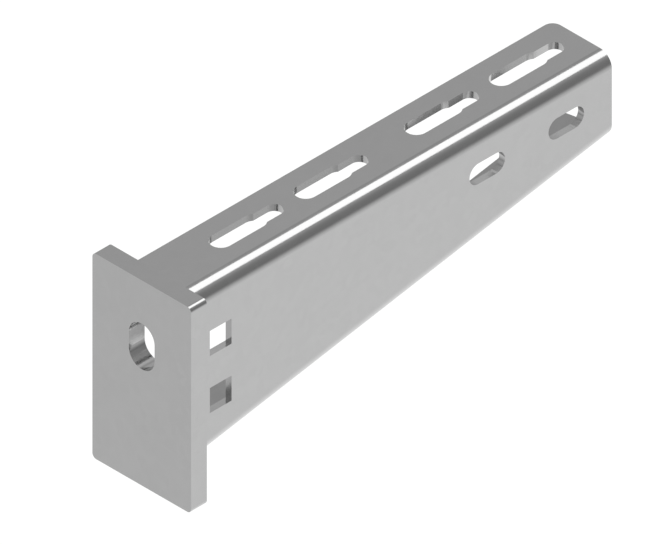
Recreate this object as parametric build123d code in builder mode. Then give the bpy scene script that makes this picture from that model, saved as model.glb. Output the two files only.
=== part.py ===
from build123d import *
from math import cos, radians, sin, sqrt, tan
import os

# All sizes in mm. +X runs out along the arm and +Z is up. The web is on the -Y side.
# The origin is the middle of the head plate's wall face.

# Head plate
plate_width = 50.0
plate_height = 90.0
plate_thickness = 8.0
plate_corner_radius = 2.0
wall_slot_width = 13.0
wall_slot_travel = 7.0  # between the centres of its end arcs
wall_slot_drop = 29.0  # slot centre below the plate's top edge

# Folded sheet of the arm
sheet_thickness = 3.0
fold_inner_radius = 3.0
arm_reach = 215.0  # from the back of the plate to the tip
arm_top_margin = 5.0  # plate's top edge above the arm's top face
arm_bottom_margin = 10.4  # plate's bottom edge below the arm's underside
web_side_margin = 9.9  # plate's side edge to the web's outer face
underside_slope = 10.0  # degrees, rising towards the tip
top_flange_width = 30.0
bottom_flange_width = 23.1
tip_corner_radius = 4.0

# Keyhole slots in the top flange, wide end towards the plate, in pairs
keyhole_wide_width = 9.0
keyhole_wide_travel = 17.0  # between the end arcs of the wide part
keyhole_narrow_width = 7.0
keyhole_narrow_travel = 27.0  # from the first wide arc to the narrow end's arc
keyhole_edge_distance = 12.5  # centre line from the flange's free edge
keyhole_root_distance = 30.0  # first slot's end from the back of the plate
keyhole_tip_distance = 5.0  # least distance left at the tip
keyhole_bridge = 8.0  # metal between the two slots of a pair
keyhole_pair_bridge = 21.0  # metal between two pairs
keyholes_per_pair = 2

# Square holes in the web, one above the other
square_hole_side = 11.0
square_hole_distance = 16.9  # centres from the back of the plate
square_hole_depth = 24.9  # upper centre below the arm's top face
square_hole_pitch = 25.0
square_hole_count = 2

# Oblong holes in the web near the tip
web_slot_width = 9.0
web_slot_travel = 9.0  # between the centres of the end arcs
web_slot_depth = 18.4  # centres below the arm's top face
web_slot_tip_distance = 23.1
web_slot_pitch = 40.0
web_slot_count = 2

# Fillet weld round the outside of the channel
weld_leg = 3.0
weld_crown = 0.4  # how far its face bulges

# Levels and lines that several pieces share
fold_outer_radius = fold_inner_radius + sheet_thickness
slope_rise = tan(radians(underside_slope))
root_x = plate_thickness
tip_x = root_x + arm_reach
plate_top = plate_height / 2
arm_top = plate_top - arm_top_margin
root_bottom = arm_bottom_margin - plate_height / 2
tip_bottom = root_bottom + arm_reach * slope_rise
web_outer_y = web_side_margin - plate_width / 2
fold_end_y = web_outer_y + fold_outer_radius  # where the folds meet the flat flanges
top_free_y = web_outer_y + top_flange_width
bottom_free_y = web_outer_y + bottom_flange_width

top_face = Plane.XY.offset(arm_top)
web_face = Plane.XZ.offset(-web_outer_y)
underside = Plane(
    origin=(root_x, 0, root_bottom),
    x_dir=(cos(radians(underside_slope)), 0, sin(radians(underside_slope))),
    z_dir=(-sin(radians(underside_slope)), 0, cos(radians(underside_slope))),
)

# Head plate with its upright wall slot
with BuildPart() as head_plate:
    with BuildSketch(Plane.YZ):
        RectangleRounded(plate_width, plate_height, plate_corner_radius)
        with Locations((0, plate_top - wall_slot_drop)):
            SlotCenterToCenter(wall_slot_travel, wall_slot_width, rotation=90, mode=Mode.SUBTRACT)
    extrude(amount=plate_thickness)

# Arm: a tapered block with rounded folds, hollowed to the sheet's thickness and open on three sides
with BuildPart() as arm_channel:
    with BuildSketch(web_face):
        with BuildLine():
            Polyline(
                (root_x, arm_top),
                (tip_x, arm_top),
                (tip_x, tip_bottom),
                (root_x, root_bottom),
                close=True,
            )
        make_face()
    extrude(amount=-top_flange_width)
    web_edges = arm_channel.edges().group_by(Axis.Y)[0]
    fillet(web_edges.filter_by(Axis.Z, reverse=True), radius=fold_outer_radius)
    open_sides = [
        arm_channel.faces().sort_by(Axis.Y)[-1],
        arm_channel.faces().sort_by(Axis.X)[0],
        arm_channel.faces().sort_by(Axis.X)[-1],
    ]
    offset(amount=-sheet_thickness, openings=open_sides)

    # Bottom flange, cut narrower than the top one
    # Its end slants back from the fold, as a straight blank edge does when it is folded on the slope
    flange_end = arm_reach / cos(radians(underside_slope))
    flange_end_setback = (bottom_free_y - fold_end_y) * slope_rise
    waste_start = -top_flange_width
    waste_end = flange_end + top_flange_width
    waste_y = bottom_free_y + top_flange_width
    with BuildSketch(underside) as flange_waste:
        with BuildLine():
            Polyline(
                (waste_start, bottom_free_y),
                (flange_end - flange_end_setback, bottom_free_y),
                (flange_end, fold_end_y),
                (waste_end, fold_end_y),
                (waste_end, waste_y),
                (waste_start, waste_y),
                close=True,
            )
        make_face()
        free_corner = flange_waste.vertices().group_by(Axis.Y)[1].sort_by(Axis.X)[-1]
        fillet(free_corner, radius=tip_corner_radius)
    extrude(amount=fold_outer_radius, both=True, mode=Mode.SUBTRACT)

    # Rounded free corner at the tip of the top flange
    free_edges = arm_channel.edges().group_by(Axis.Y)[-1]
    fillet(free_edges.filter_by(Axis.Z).sort_by(Axis.X)[-1], radius=tip_corner_radius)

    # Keyhole slots: as many pairs as the arm has room for
    keyhole_length = keyhole_wide_width / 2 + keyhole_narrow_travel + keyhole_narrow_width / 2
    keyhole_pitch = keyhole_length + keyhole_bridge
    pair_length = keyhole_pitch * keyholes_per_pair - keyhole_bridge
    pair_pitch = pair_length + keyhole_pair_bridge
    keyhole_room = arm_reach - keyhole_root_distance - keyhole_tip_distance
    keyhole_pairs = int((keyhole_room + keyhole_pair_bridge) // pair_pitch)
    first_arc_x = root_x + keyhole_root_distance + keyhole_wide_width / 2
    keyhole_y = top_free_y - keyhole_edge_distance
    with BuildSketch(top_face):
        for pair in range(keyhole_pairs):
            for member in range(keyholes_per_pair):
                arc_x = first_arc_x + pair * pair_pitch + member * keyhole_pitch
                with Locations((arc_x + keyhole_wide_travel / 2, keyhole_y)):
                    SlotCenterToCenter(keyhole_wide_travel, keyhole_wide_width)
                with Locations((arc_x + keyhole_narrow_travel / 2, keyhole_y)):
                    SlotCenterToCenter(keyhole_narrow_travel, keyhole_narrow_width)
    extrude(amount=-sheet_thickness, mode=Mode.SUBTRACT)

    # Square holes and oblong holes through the web
    with BuildSketch(web_face):
        for row in range(square_hole_count):
            square_z = arm_top - square_hole_depth - row * square_hole_pitch
            with Locations((root_x + square_hole_distance, square_z)):
                Rectangle(square_hole_side, square_hole_side)
        for step in range(web_slot_count):
            slot_x = tip_x - web_slot_tip_distance - step * web_slot_pitch
            with Locations((slot_x, arm_top - web_slot_depth)):
                SlotCenterToCenter(web_slot_travel, web_slot_width)
    extrude(amount=-sheet_thickness, mode=Mode.SUBTRACT)

# Weld: a crowned fillet on the back of the plate, along the channel's outer outline
# Its section reaches into the sheet, which cuts it back, so it also meets the sloping underside
with BuildPart() as weld_seam:
    with BuildLine(Plane.YZ.offset(root_x)):
        seam = FilletPolyline(
            (top_free_y, arm_top),
            (web_outer_y, arm_top),
            (web_outer_y, root_bottom),
            (bottom_free_y, root_bottom),
            radius=fold_outer_radius,
        )
    weld_overlap = sheet_thickness / 2
    face_middle = (weld_leg + weld_overlap) / 2
    face_bulge = weld_crown / sqrt(2)
    with BuildSketch(Plane(origin=seam @ 0, x_dir=(1, 0, 0), z_dir=seam % 0)):
        with BuildLine():
            ThreePointArc(
                (0, weld_leg),
                (face_middle + face_bulge, face_middle - weld_overlap + face_bulge),
                (weld_leg + weld_overlap, -weld_overlap),
            )
            Polyline((weld_leg + weld_overlap, -weld_overlap), (0, -weld_overlap), (0, weld_leg))
        make_face()
    sweep()
    add(arm_channel.part, mode=Mode.SUBTRACT)

head_plate.part.label = "head_plate"
arm_channel.part.label = "arm_channel"
weld_seam.part.label = "weld_seam"

os.makedirs("parts", exist_ok=True)
export_step(head_plate.part, "parts/head_plate.step")
export_step(arm_channel.part, "parts/arm_channel.step")
export_step(weld_seam.part, "parts/weld_seam.step")
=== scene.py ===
import bpy
import random
from math import cos, pi, radians, sin, tan
from mathutils import Matrix, Vector


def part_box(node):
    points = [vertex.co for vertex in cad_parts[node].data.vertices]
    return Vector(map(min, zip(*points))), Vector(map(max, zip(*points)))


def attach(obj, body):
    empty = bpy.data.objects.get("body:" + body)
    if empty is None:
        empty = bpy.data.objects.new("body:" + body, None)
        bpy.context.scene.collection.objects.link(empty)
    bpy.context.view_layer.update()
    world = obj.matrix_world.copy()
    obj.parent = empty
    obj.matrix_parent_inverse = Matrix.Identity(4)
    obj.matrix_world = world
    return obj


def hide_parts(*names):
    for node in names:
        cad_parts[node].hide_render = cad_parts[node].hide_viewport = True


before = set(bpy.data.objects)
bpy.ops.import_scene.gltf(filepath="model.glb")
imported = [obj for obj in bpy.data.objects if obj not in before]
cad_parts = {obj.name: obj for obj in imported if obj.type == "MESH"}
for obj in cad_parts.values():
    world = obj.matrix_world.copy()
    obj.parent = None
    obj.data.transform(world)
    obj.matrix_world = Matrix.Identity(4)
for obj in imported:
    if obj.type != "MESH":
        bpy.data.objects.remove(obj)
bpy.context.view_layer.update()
armLow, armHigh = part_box("arm_channel")
_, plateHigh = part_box("head_plate")
print("frame loaded:", ", ".join(sorted(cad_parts)))


class Shade:  # a socket in a node tree; an expression written with it adds its Math nodes
    def __init__(self, tree, socket=None):
        self.tree = tree
        self.socket = socket

    # take is the output to go on with, or None for the node itself
    def node(self, kind, settings=None, sockets=None, take=0):
        made = self.tree.nodes.new(kind)
        for name, value in (settings or {}).items():
            setattr(made, name, value)
        for name, value in (sockets or {}).items():
            if isinstance(value, Shade):
                self.tree.links.new(value.socket, made.inputs[name])
            else:
                made.inputs[name].default_value = value
        return Shade(self.tree, made.outputs[take]) if take is not None else made

    def math(self, operation, *values):
        return self.node("ShaderNodeMath", {"operation": operation}, dict(enumerate(values)))

    def __add__(self, other):
        return self.math("ADD", self, other)

    def __radd__(self, other):
        return self.math("ADD", other, self)

    def __sub__(self, other):
        return self.math("SUBTRACT", self, other)

    def __rsub__(self, other):
        return self.math("SUBTRACT", other, self)

    def __mul__(self, other):
        return self.math("MULTIPLY", self, other)

    def __rmul__(self, other):
        return self.math("MULTIPLY", other, self)

    def __truediv__(self, other):
        return self.math("DIVIDE", self, other)

    def __rtruediv__(self, other):
        return self.math("DIVIDE", other, self)

    def __gt__(self, other):
        return self.math("GREATER_THAN", self, other)

    def __lt__(self, other):
        return self.math("LESS_THAN", self, other)

    def __abs__(self):
        return self.math("ABSOLUTE", self)

    def larger(self, other):
        return self.math("MAXIMUM", self, other)

    def fade(self, start, end):  # 0 at start, 1 at end, soft between them
        return self.node(
            "ShaderNodeMapRange",
            {"interpolation_type": "SMOOTHSTEP"},
            {"Value": self, "From Min": start, "From Max": end},
        )

    def parts(self):
        split = self.node("ShaderNodeSeparateXYZ", None, {0: self}, None)
        return [Shade(self.tree, split.outputs[axis]) for axis in "XYZ"]

    def stretch(self, x, y, z):
        return self.node(
            "ShaderNodeVectorMath", {"operation": "MULTIPLY"}, {0: self, 1: (x, y, z)}
        )

    def towards(self, way):
        return self.node(
            "ShaderNodeVectorMath", {"operation": "DOT_PRODUCT"}, {0: self, 1: way}, "Value"
        )

    def noise(self, scale, detail=2.0, take=0):
        return self.node(
            "ShaderNodeTexNoise", None, {"Vector": self, "Scale": scale, "Detail": detail}, take
        )


def newMaterial(name):
    material = bpy.data.materials.new(name)
    material.use_nodes = True
    material.node_tree.nodes.clear()
    return material, Shade(material.node_tree)


def grey(level):
    return (level, level, level, 1)


def coverMetal(shade, colour, roughness, height):
    bumped = shade.node(
        "ShaderNodeBump", None, {"Height": height, "Strength": 1.0, "Distance": 1.0}, "Normal"
    )
    metal = shade.node(
        "ShaderNodeBsdfPrincipled",
        None,
        {"Metallic": 1.0, "Base Color": colour, "Roughness": roughness, "Normal": bumped},
    )
    shade.node("ShaderNodeOutputMaterial", None, {"Surface": metal}, None)


noiseMiddle = 0.5  # taken off each noise, so that the mean stays as written

# Smooth zinc on the folded sheet and the plate. Lengths are in metres
zinc = {
    "grey": 0.60,
    "roughness": 0.15,
    "crystal": 0.0035,  # across one zinc crystal
    "crystalBend": 0.0010,  # how far its outline wanders
    "crystalTone": 0.030,  # how far crystals differ, as a share of the grey
    "crystalSheen": 0.030,  # and in roughness
    "grainWidth": 0.0006,  # rolling marks
    "grainLength": 0.030,
    "grainTone": 0.016,
    "grainRelief": 0.4,  # as a share of the stains' relief
    "cloud": 0.018,  # soft stains
    "cloudTone": 0.030,
    "relief": 0.000006,
    "cutMark": 0.0004,  # between the marks that the cutter left through the sheet
    "cutPaintedLightGrey": 0.65,  # a lighter grey in the holes and on the arm's cut edges: painted light that lifts the shade there
    "cutTone": 0.05,
    "cutRoughness": 0.05,
    "cutSmoothest": 0.3,  # noise value that adds none; under the middle, so cut faces are rougher
    "cutRelief": 0.000008,
}


def zincFinish(name, look, grainAxis, findCut, findPaintedLight, flattenCut):
    material, shade = newMaterial(name)
    point = shade.node("ShaderNodeTexCoord", take="Object")
    normal = shade.node("ShaderNodeTexCoord", take="Normal")
    cut = findCut(point.parts(), normal.parts())
    # mask of the faces that get painted light
    paintedLight = findPaintedLight(point.parts(), normal.parts())

    wander = point.noise(1 / look["crystal"], detail=1.0, take=1)
    bent = shade.node(
        "ShaderNodeVectorMath",
        {"operation": "MULTIPLY_ADD"},
        {0: wander, 1: (look["crystalBend"],) * 3, 2: point},
    )
    crystal = shade.node(
        "ShaderNodeTexVoronoi", None, {"Vector": bent, "Scale": 1 / look["crystal"]}, "Color"
    ).parts()[0]
    fine = [1 / look["grainWidth"]] * 3
    fine[grainAxis] = 1 / look["grainLength"]
    grain = point.stretch(*fine).noise(scale=1.0)
    cloud = point.noise(1 / look["cloud"])
    marks = flattenCut(shade, point).noise(1 / look["cutMark"], detail=1.0)

    # Painted light: faces in this mask get a lighter grey that lifts the shade in the holes and on
    # cut edges
    base = look["grey"] + paintedLight * (look["cutPaintedLightGrey"] - look["grey"])
    tone = (
        1.0
        + (crystal - noiseMiddle) * look["crystalTone"]
        + (grain - noiseMiddle) * look["grainTone"]
        + (cloud - noiseMiddle) * look["cloudTone"]
        + (marks - noiseMiddle) * cut * look["cutTone"]
    )
    roughness = (
        look["roughness"]
        + (crystal - noiseMiddle) * look["crystalSheen"]
        + (marks - look["cutSmoothest"]) * cut * look["cutRoughness"]
    )
    height = (
        (cloud + grain * look["grainRelief"]) * look["relief"]
        + marks * cut * look["cutRelief"]
    )
    coverMetal(shade, tone * base, roughness, height)
    return material


# Cut faces of the arm: hole walls, tip ends and free edges, told by their place and their normal.
# This mask carries the cut marks and also places painted light that lifts the shade on these faces
armCuts = {
    "topFlangeAbove": 0.0369,
    "webBelow": 0.0335,
    "webInside": -0.0120,
    "flangesFrom": -0.0060,
    "freeEdgesFrom": 0.0050,
    "endNormal": 0.3,  # least X of a normal that crosses the sheet
    "sideNormal": 0.7,  # least Y or Z
}


def armCut(point, normal):
    _, y, z = point
    normalX, normalY, normalZ = normal
    acrossSheet = abs(normalX) > armCuts["endNormal"]
    inTopFlange = (z > armCuts["topFlangeAbove"]) * (y > armCuts["flangesFrom"])
    topHoles = (abs(normalY) > armCuts["sideNormal"]) * inTopFlange
    freeEdges = (normalY > armCuts["sideNormal"]) * (y > armCuts["freeEdgesFrom"])
    inWeb = (y < armCuts["webInside"]) * (z < armCuts["webBelow"])
    webHoles = (abs(normalZ) > armCuts["sideNormal"]) * inWeb
    return acrossSheet.larger(topHoles).larger(freeEdges).larger(webHoles)


# The marks run through the sheet: along Y in the web, along Z elsewhere
def armCutMarks(shade, point):
    x, y, z = point.parts()
    web = y < armCuts["webInside"]
    return shade.node(
        "ShaderNodeCombineXYZ", None, {"X": x, "Y": y * (1 - web), "Z": z * web}
    )


# Cut faces of the plate: its four outer sides and the walls of the wall slot
plateCuts = {
    "sideNormal": 0.5,  # largest X of a normal that isn't a broad face's
    "slotReachY": 0.0080,  # past the wall slot, short of the outer sides
    "slotReachZ": 0.0400,
}


def plateCut(point, normal):
    return abs(normal[0]) < plateCuts["sideNormal"]


# Walls of the wall slot only: there painted light lifts the shade in the slot
def plateSlotPaintedLight(point, normal):
    _, y, z = point
    nearSlot = (abs(y) < plateCuts["slotReachY"]) * (abs(z) < plateCuts["slotReachZ"])
    return plateCut(point, normal) * nearSlot


def plateCutMarks(shade, point):
    return point.stretch(0, 1, 1)


# The fifth argument places painted light: a lighter grey on the arm's cut faces and the plate's
# slot walls
armZinc = zincFinish("armZinc", zinc, 0, armCut, armCut, armCutMarks)
plateZinc = zincFinish("plateZinc", zinc, 2, plateCut, plateSlotPaintedLight, plateCutMarks)
for nodeName, finish in (("arm_channel", armZinc), ("head_plate", plateZinc)):
    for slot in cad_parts[nodeName].material_slots:
        slot.material = finish
print("zinc on the arm and the plate")

# Weld bead: overlapping ripples round the outside of the channel, on the back of the plate
bead = {
    "endY": 0.0080,  # where it stops, at the bottom flange's free edge
    "cornerRadius": 0.0060,
    "pitch": 0.0016,
    "segments": 12,  # round one ripple
    "rings": 8,
    "halfThick": 0.0015,
    "halfWide": 0.0032,
    "halfLong": 0.0021,
    "standOff": 0.0010,  # ripple's centre out of the corner
    "lean": 16.0,  # degrees
    "unevenness": 0.05,
    "seed": 4,
    "voxel": 0.00028,
    "smoothing": 3,
}
beadZinc = {
    "grey": 0.55,
    "roughness": 0.30,
    "speck": 0.0009,
    "speckTone": 0.12,
    "speckSheen": 0.14,
    "cloud": 0.006,
    "cloudTone": 0.10,
    "relief": 0.00006,
}


def beadFinish(name, look):
    material, shade = newMaterial(name)
    point = shade.node("ShaderNodeTexCoord", take="Object")
    speck = point.noise(1 / look["speck"], detail=3.0)
    cloud = point.noise(1 / look["cloud"])
    tone = (
        1.0
        + (speck - noiseMiddle) * look["speckTone"]
        + (cloud - noiseMiddle) * look["cloudTone"]
    )
    roughness = look["roughness"] + (speck - noiseMiddle) * look["speckSheen"]
    coverMetal(shade, tone * look["grey"], roughness, speck * look["relief"])
    return material


# Evenly spaced along the corner line, in Y and Z: the place, the outward way and the way of travel
def seamPlaces():
    radius = bead["cornerRadius"]
    webY, topZ, bottomZ, freeY = armLow.y, armHigh.z, armLow.z, armHigh.y
    straights = [
        (Vector((freeY, topZ)), Vector((webY + radius, topZ))),
        (Vector((webY, topZ - radius)), Vector((webY, bottomZ + radius))),
        (Vector((webY + radius, bottomZ)), Vector((bead["endY"], bottomZ))),
    ]
    arcs = [  # centre, and the angle at which the quarter turn starts
        (Vector((webY + radius, topZ - radius)), pi / 2),
        (Vector((webY + radius, bottomZ + radius)), pi),
    ]
    places = []
    spare = bead["pitch"] / 2
    for n, (start, end) in enumerate(straights):
        travel = (end - start).normalized()
        outward = Vector((travel.y, -travel.x))
        length = (end - start).length
        while spare < length:
            places.append((start + travel * spare, outward, travel))
            spare += bead["pitch"]
        spare -= length
        if n < len(arcs):
            centre, startAngle = arcs[n]
            length = radius * pi / 2
            while spare < length:
                angle = startAngle + spare / radius
                outward = Vector((cos(angle), sin(angle)))
                travel = Vector((-outward.y, outward.x))
                places.append((centre + outward * radius, outward, travel))
                spare += bead["pitch"]
            spare -= length
    return places


def makeBead():
    bpy.ops.object.select_all(action="DESELECT")
    bpy.ops.mesh.primitive_uv_sphere_add(
        segments=bead["segments"], ring_count=bead["rings"], radius=1.0
    )
    ripple = bpy.context.object
    bpy.ops.object.mode_set(mode="EDIT")
    bpy.ops.mesh.select_all(action="SELECT")
    bpy.ops.transform.resize(value=(bead["halfThick"], bead["halfWide"], bead["halfLong"]))
    bpy.ops.transform.rotate(
        value=radians(bead["lean"]), orient_axis="Y", center_override=(0, 0, 0)
    )
    bpy.ops.object.mode_set(mode="OBJECT")

    chance = random.Random(bead["seed"])
    plateBack = plateHigh.x
    copies = []
    for corner, outward, travel in seamPlaces():
        copy = ripple.copy()
        copy.data = ripple.data.copy()
        bpy.context.collection.objects.link(copy)
        out = Vector((1, outward.x, outward.y)).normalized()
        across = Vector((1, -outward.x, -outward.y)).normalized()
        along = Vector((0, travel.x, travel.y))
        size = 1 + chance.uniform(-1, 1) * bead["unevenness"]
        slip = chance.uniform(-1, 1) * bead["unevenness"] * bead["pitch"]
        centre = Vector((plateBack, corner.x, corner.y)) + out * bead["standOff"] + along * slip
        turn = Matrix((out * size, across * size, along)).transposed().to_4x4()
        copy.data.transform(Matrix.Translation(centre) @ turn)
        copies.append(copy)
    bpy.data.objects.remove(ripple)

    for copy in copies:
        copy.select_set(True)
    bpy.context.view_layer.objects.active = copies[0]
    bpy.ops.object.join()
    weld = bpy.context.object
    weld.name = "weldBead"
    weld.data.name = "weldBead"
    fused = weld.modifiers.new("fused", "REMESH")
    fused.mode = "VOXEL"
    fused.voxel_size = bead["voxel"]
    bpy.ops.object.modifier_apply(modifier="fused")
    softened = weld.modifiers.new("softened", "SMOOTH")
    softened.iterations = bead["smoothing"]
    bpy.ops.object.modifier_apply(modifier="softened")
    bpy.ops.object.shade_smooth()
    weld.data.materials.clear()
    weld.data.materials.append(beadFinish("beadZinc", beadZinc))
    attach(weld, "root")
    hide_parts("weld_seam")
    print("weld bead:", len(copies), "ripples,", len(weld.data.polygons), "faces")


makeBead()

# Two wide soft panels, level with the arm, light the sides that the photograph doesn't show
panels = {
    "besideWall": {
        "facing": (-0.707, -0.707, 0),
        "edge": (0.22, 0.50),
        "height": (0.34, 0.52),  # sines between which it fades out, above and below
        "level": 0.68,
    },
    "beyondTip": {
        "facing": (1, 0, 0),
        "edge": (0.72, 0.95),
        "height": (0.34, 0.52),
        "level": 0.65,
    },
}


# Adds the soft panels to a level: light in the sky, painted light on the floor's glow
def withPanels(level, direction):
    steepness = abs(direction.parts()[2])
    for panel in panels.values():
        across = direction.towards(panel["facing"]).fade(*panel["edge"])
        shown = across * (1 - steepness.fade(*panel["height"]))
        level = level.larger(shown * panel["level"])
    return level


# Floor: pale, well below the arm, which hangs on a wall. The camera sees it evenly white;
# reflections see its glow, a painted pool of light with the soft panels painted on it
floor = {
    "height": -3.0,
    "size": 80.0,
    "paint": 0.8,
    "poolCentre": (3.6, 0.82),  # where the painted glow on it is strongest
    "poolReach": (7.7, 6.6),
    "paintedPoolLight": 0.842,
    "paintedFarLight": 0.2380,
    "glowShare": 0.9,  # the rest is paint, which takes the shadow
}


def layFloor():
    bpy.ops.object.select_all(action="DESELECT")
    bpy.ops.mesh.primitive_plane_add(size=floor["size"], location=(0, 0, floor["height"]))
    bpy.ops.object.transform_apply(location=True)
    ground = bpy.context.object
    ground.name = "floor"
    material, shade = newMaterial("paleFloor")
    point = shade.node("ShaderNodeTexCoord", take="Object")
    fromArm = shade.node("ShaderNodeVectorMath", {"operation": "NORMALIZE"}, {0: point})
    x, y, _ = point.parts()
    centreX, centreY = floor["poolCentre"]
    reachX, reachY = floor["poolReach"]
    alongX = (x - centreX) / reachX
    alongY = (y - centreY) / reachY
    # Painted pool of light: the floor's glow, which the metal reflects, is brightest round the
    # centre and falls off to the far level
    pool = floor["paintedFarLight"] + floor["paintedPoolLight"] / (1 + alongX * alongX + alongY * alongY)
    # the soft panels are painted onto the floor's glow as well
    level = withPanels(pool, fromArm)
    white = 1 / floor["glowShare"]  # so that the camera sees white
    rays = shade.node("ShaderNodeLightPath", take=None)
    eye, glossy, through = [
        Shade(shade.tree, rays.outputs[name])
        for name in ("Is Camera Ray", "Is Glossy Ray", "Is Transmission Ray")
    ]
    # the glow is white to the camera and the painted light level to reflections
    glow = shade.node(
        "ShaderNodeEmission", None, {"Color": grey(1), "Strength": level.larger(eye * white)}
    )
    paint = shade.node("ShaderNodeBsdfDiffuse", None, {"Color": grey(floor["paint"])})
    seen = eye.larger(glossy).larger(through) * floor["glowShare"]
    mixed = shade.node("ShaderNodeMixShader", None, {0: seen, 1: paint, 2: glow})
    shade.node("ShaderNodeOutputMaterial", None, {"Surface": mixed}, None)
    ground.data.materials.append(material)


layFloor()
print("floor laid")

# Studio: a soft dome, a wide panel low on the open side and one large softbox
studio = {
    "horizon": 0.240,
    "zenith": 0.361,
    "zenithFade": (0.15, 1.0),
    "panelGlow": 0.194,
    "panelFacing": (0, 0.8, -0.6),
    "panelEdge": (0.01, 0.105),
    "haloGlow": 0.108,  # round the softbox
    "haloEdge": (0.72, 0.97),
    "softboxFrom": (0.496, -0.066, 0.866),
    "softboxDistance": 6.0,
    "softboxAcross": 36.0,  # degrees, seen from the arm
    "softboxDeep": 44.0,
    "softboxLevel": 0.969,
    "wattsPerArea": 4.0,  # that an area lamp needs for a level of 1
}


def lightStudio():
    world = bpy.data.worlds.new("studio")
    bpy.context.scene.world = world
    world.use_nodes = True
    world.node_tree.nodes.clear()
    shade = Shade(world.node_tree)
    direction = shade.node("ShaderNodeTexCoord", take="Generated")
    aim = Vector(studio["softboxFrom"]).normalized()
    upward = direction.parts()[2].fade(*studio["zenithFade"])
    dome = upward * (studio["zenith"] - studio["horizon"])
    panel = direction.towards(studio["panelFacing"]).fade(*studio["panelEdge"])
    halo = direction.towards(aim).fade(*studio["haloEdge"])
    level = studio["horizon"] + dome + panel * studio["panelGlow"] + halo * studio["haloGlow"]
    level = withPanels(level, direction)
    eye = shade.node("ShaderNodeLightPath", take="Is Camera Ray")
    sky = shade.node(
        "ShaderNodeBackground", None, {"Color": grey(1), "Strength": level.larger(eye)}
    )
    shade.node("ShaderNodeOutputWorld", None, {"Surface": sky}, None)

    reach = studio["softboxDistance"]
    width = 2 * reach * tan(radians(studio["softboxAcross"] / 2))
    depth = 2 * reach * tan(radians(studio["softboxDeep"] / 2))
    bpy.ops.object.light_add(type="AREA", location=aim * reach)
    lamp = bpy.context.object
    lamp.name = "softbox"
    lamp.data.shape = "RECTANGLE"
    lamp.data.size = width
    lamp.data.size_y = depth
    lamp.data.energy = studio["softboxLevel"] * studio["wattsPerArea"] * width * depth
    across = Vector((0, 1, 0))
    across = (across - aim * across.dot(aim)).normalized()
    lamp.rotation_euler = Matrix((across, aim.cross(across), aim)).transposed().to_euler()


lightStudio()
print("studio lit")

# Camera: the photograph's isometric view, upright and with no perspective
camera = {
    "from": (-1, -1, 1),
    "centre": (0.04958, -0.04729, 0.04729),
    "distance": 2.0,
    "clipEnd": 30.0,
    "pictureWidth": 666,  # pixels
    "pixelsPerMetre": 2792.4,
}


def placeCamera():
    back = Vector(camera["from"]).normalized()
    bpy.ops.object.camera_add(location=Vector(camera["centre"]) + back * camera["distance"])
    eye = bpy.context.object
    eye.rotation_euler = (-back).to_track_quat("-Z", "Y").to_euler()
    eye.data.type = "ORTHO"
    eye.data.ortho_scale = camera["pictureWidth"] / camera["pixelsPerMetre"]
    eye.data.clip_end = camera["clipEnd"]
    bpy.context.scene.camera = eye


placeCamera()
bpy.context.scene.view_settings.view_transform = "Standard"
print("camera placed")
